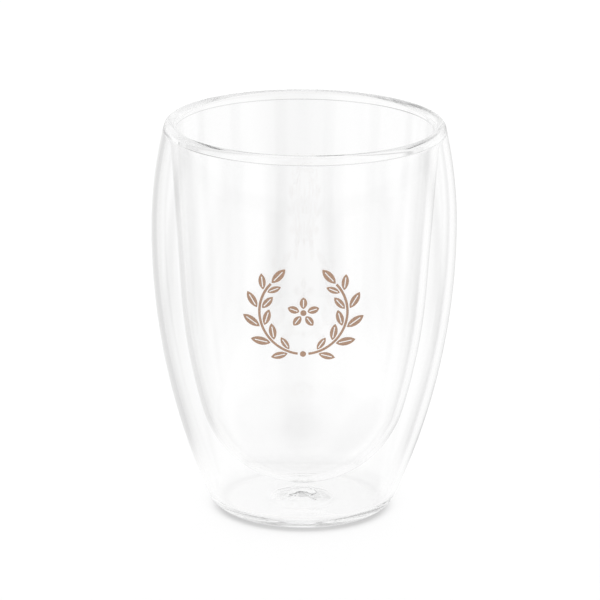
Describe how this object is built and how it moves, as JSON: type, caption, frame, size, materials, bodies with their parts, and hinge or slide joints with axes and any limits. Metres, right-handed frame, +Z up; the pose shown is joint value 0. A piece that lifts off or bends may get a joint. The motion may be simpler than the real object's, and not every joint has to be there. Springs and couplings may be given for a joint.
{
  "type": "double walled glass cup",
  "caption": "Tall bellied drinking glass with a double wall and a sealed air gap, fused at a rounded rim. It holds a hot drink and stays cool to the hand.",
  "frame": {"origin": "middle of the flat foot ring, on the surface the cup stands on", "axes": "+Z up along the cup's axis of revolution, -Y towards the printed side, +X to the right of someone who looks at the print"},
  "size_m": [0.088, 0.088, 0.115],
  "materials": {
    "outer_glass": "clear blown borosilicate glass, fire polished",
    "bowl_glass": "clear blown borosilicate glass, fire polished",
    "rim_glass": "clear glass melted to a round rim",
    "seal_glass": "clear drop of melted glass, slightly wavy",
    "brown_ink": "opaque satin screen printed ink, fired on"
  },
  "bodies": {
    "root": {"outer_wall": "outer_glass", "inner_bowl": "bowl_glass", "rim_bead": "rim_glass", "vent_seal": "seal_glass", "printed_wreath": "brown_ink"}
  },
  "joints": []
}
